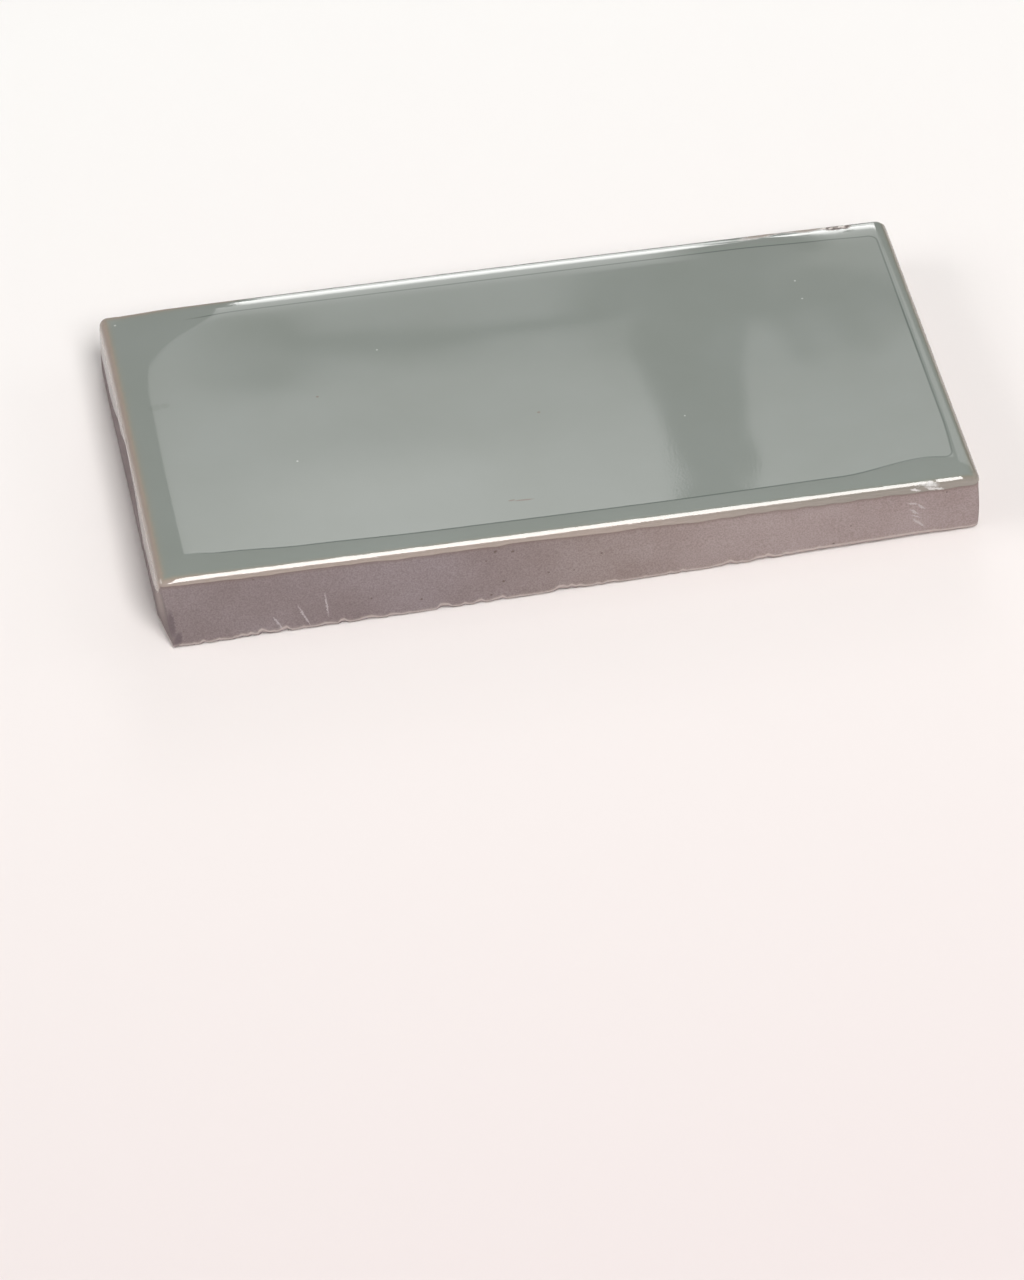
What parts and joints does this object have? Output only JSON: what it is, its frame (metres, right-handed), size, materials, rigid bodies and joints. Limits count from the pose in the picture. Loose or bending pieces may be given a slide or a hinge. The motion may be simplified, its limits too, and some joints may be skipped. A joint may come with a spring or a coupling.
{
  "type": "ceramic brick tile",
  "caption": "Flat rectangular wall tile of fired clay with a glossy sage glazed face, bare clay edges and a plain flat back.",
  "frame": {"origin": "middle of the underside of the part's box, on the flat bed that goes to the wall", "axes": "+X along the tile's length, +Y across it to the back, +Z out of the glazed face"},
  "size_m": [0.1514, 0.0781, 0.0153],
  "materials": {
    "fired_clay": "bare matt rose-brown earthenware, on the walls and the bed",
    "sage_glaze": "glossy sage green glaze, on the face and its arrises"
  },
  "bodies": {
    "root": {"brick_tile": "fired_clay"}
  },
  "joints": []
}
